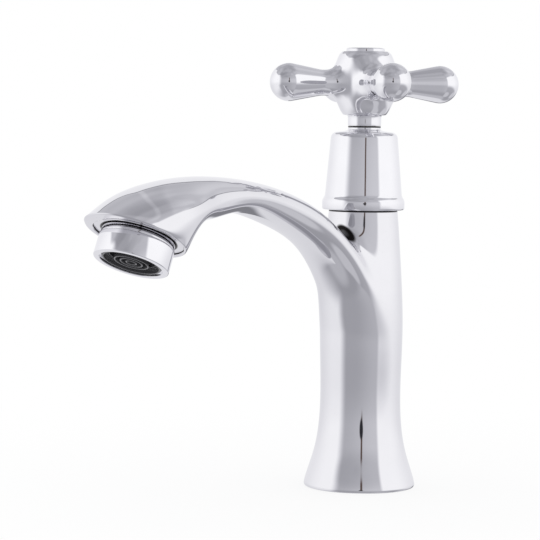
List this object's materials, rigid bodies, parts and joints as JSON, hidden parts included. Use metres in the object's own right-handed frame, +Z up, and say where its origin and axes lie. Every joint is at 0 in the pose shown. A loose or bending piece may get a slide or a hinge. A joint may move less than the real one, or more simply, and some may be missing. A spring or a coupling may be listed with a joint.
{
  "type": "pillar tap",
  "caption": "Chrome single-hole pillar tap with a curved fixed spout, a tapered bonnet, a ball-ended cross handle on a quarter-turn valve, and a screw-on aerator.",
  "frame": {"origin": "centre of the foot, on the plane of the deck that the tap stands on", "axes": "+Z up along the column's axis, the spout points along -Y"},
  "size_m": [0.057, 0.175, 0.1545],
  "materials": {
    "chrome": "polished chrome plating",
    "brass": "turned brass",
    "rubber": "moulded rubber",
    "ceramic": "lapped alumina ceramic",
    "steel": "stainless steel",
    "nylon": "natural nylon",
    "insert_plastic": "moulded dark grey plastic"
  },
  "bodies": {
    "tap": {"tap_body": "chrome", "base_gasket": "rubber", "headwork_body": "brass", "headwork_washer": "rubber", "seat_seal": "rubber", "fixed_disc": "ceramic", "slip_washer": "nylon", "bonnet_shroud": "chrome", "shroud_seal": "rubber", "dust_ring": "rubber", "aerator_sleeve": "chrome", "aerator_washer": "rubber", "aerator_cage": "insert_plastic", "flow_straightener": "insert_plastic", "aerator_screens": "steel", "jet_plate": "insert_plastic", "inlet_strainer": "insert_plastic"},
    "handle": {"cross_handle": "chrome", "handle_screw": "steel", "index_cap": "chrome", "spindle": "brass", "spindle_rings": "rubber", "spindle_clip": "steel", "turning_disc": "ceramic"}
  },
  "joints": [
    {"name": "handle_turn", "type": "hinge", "parent": "tap", "child": "handle", "pos_m": [0, 0, 0.1422], "axis": [0, 0, 1], "range_deg": [0, 90]}
  ]
}
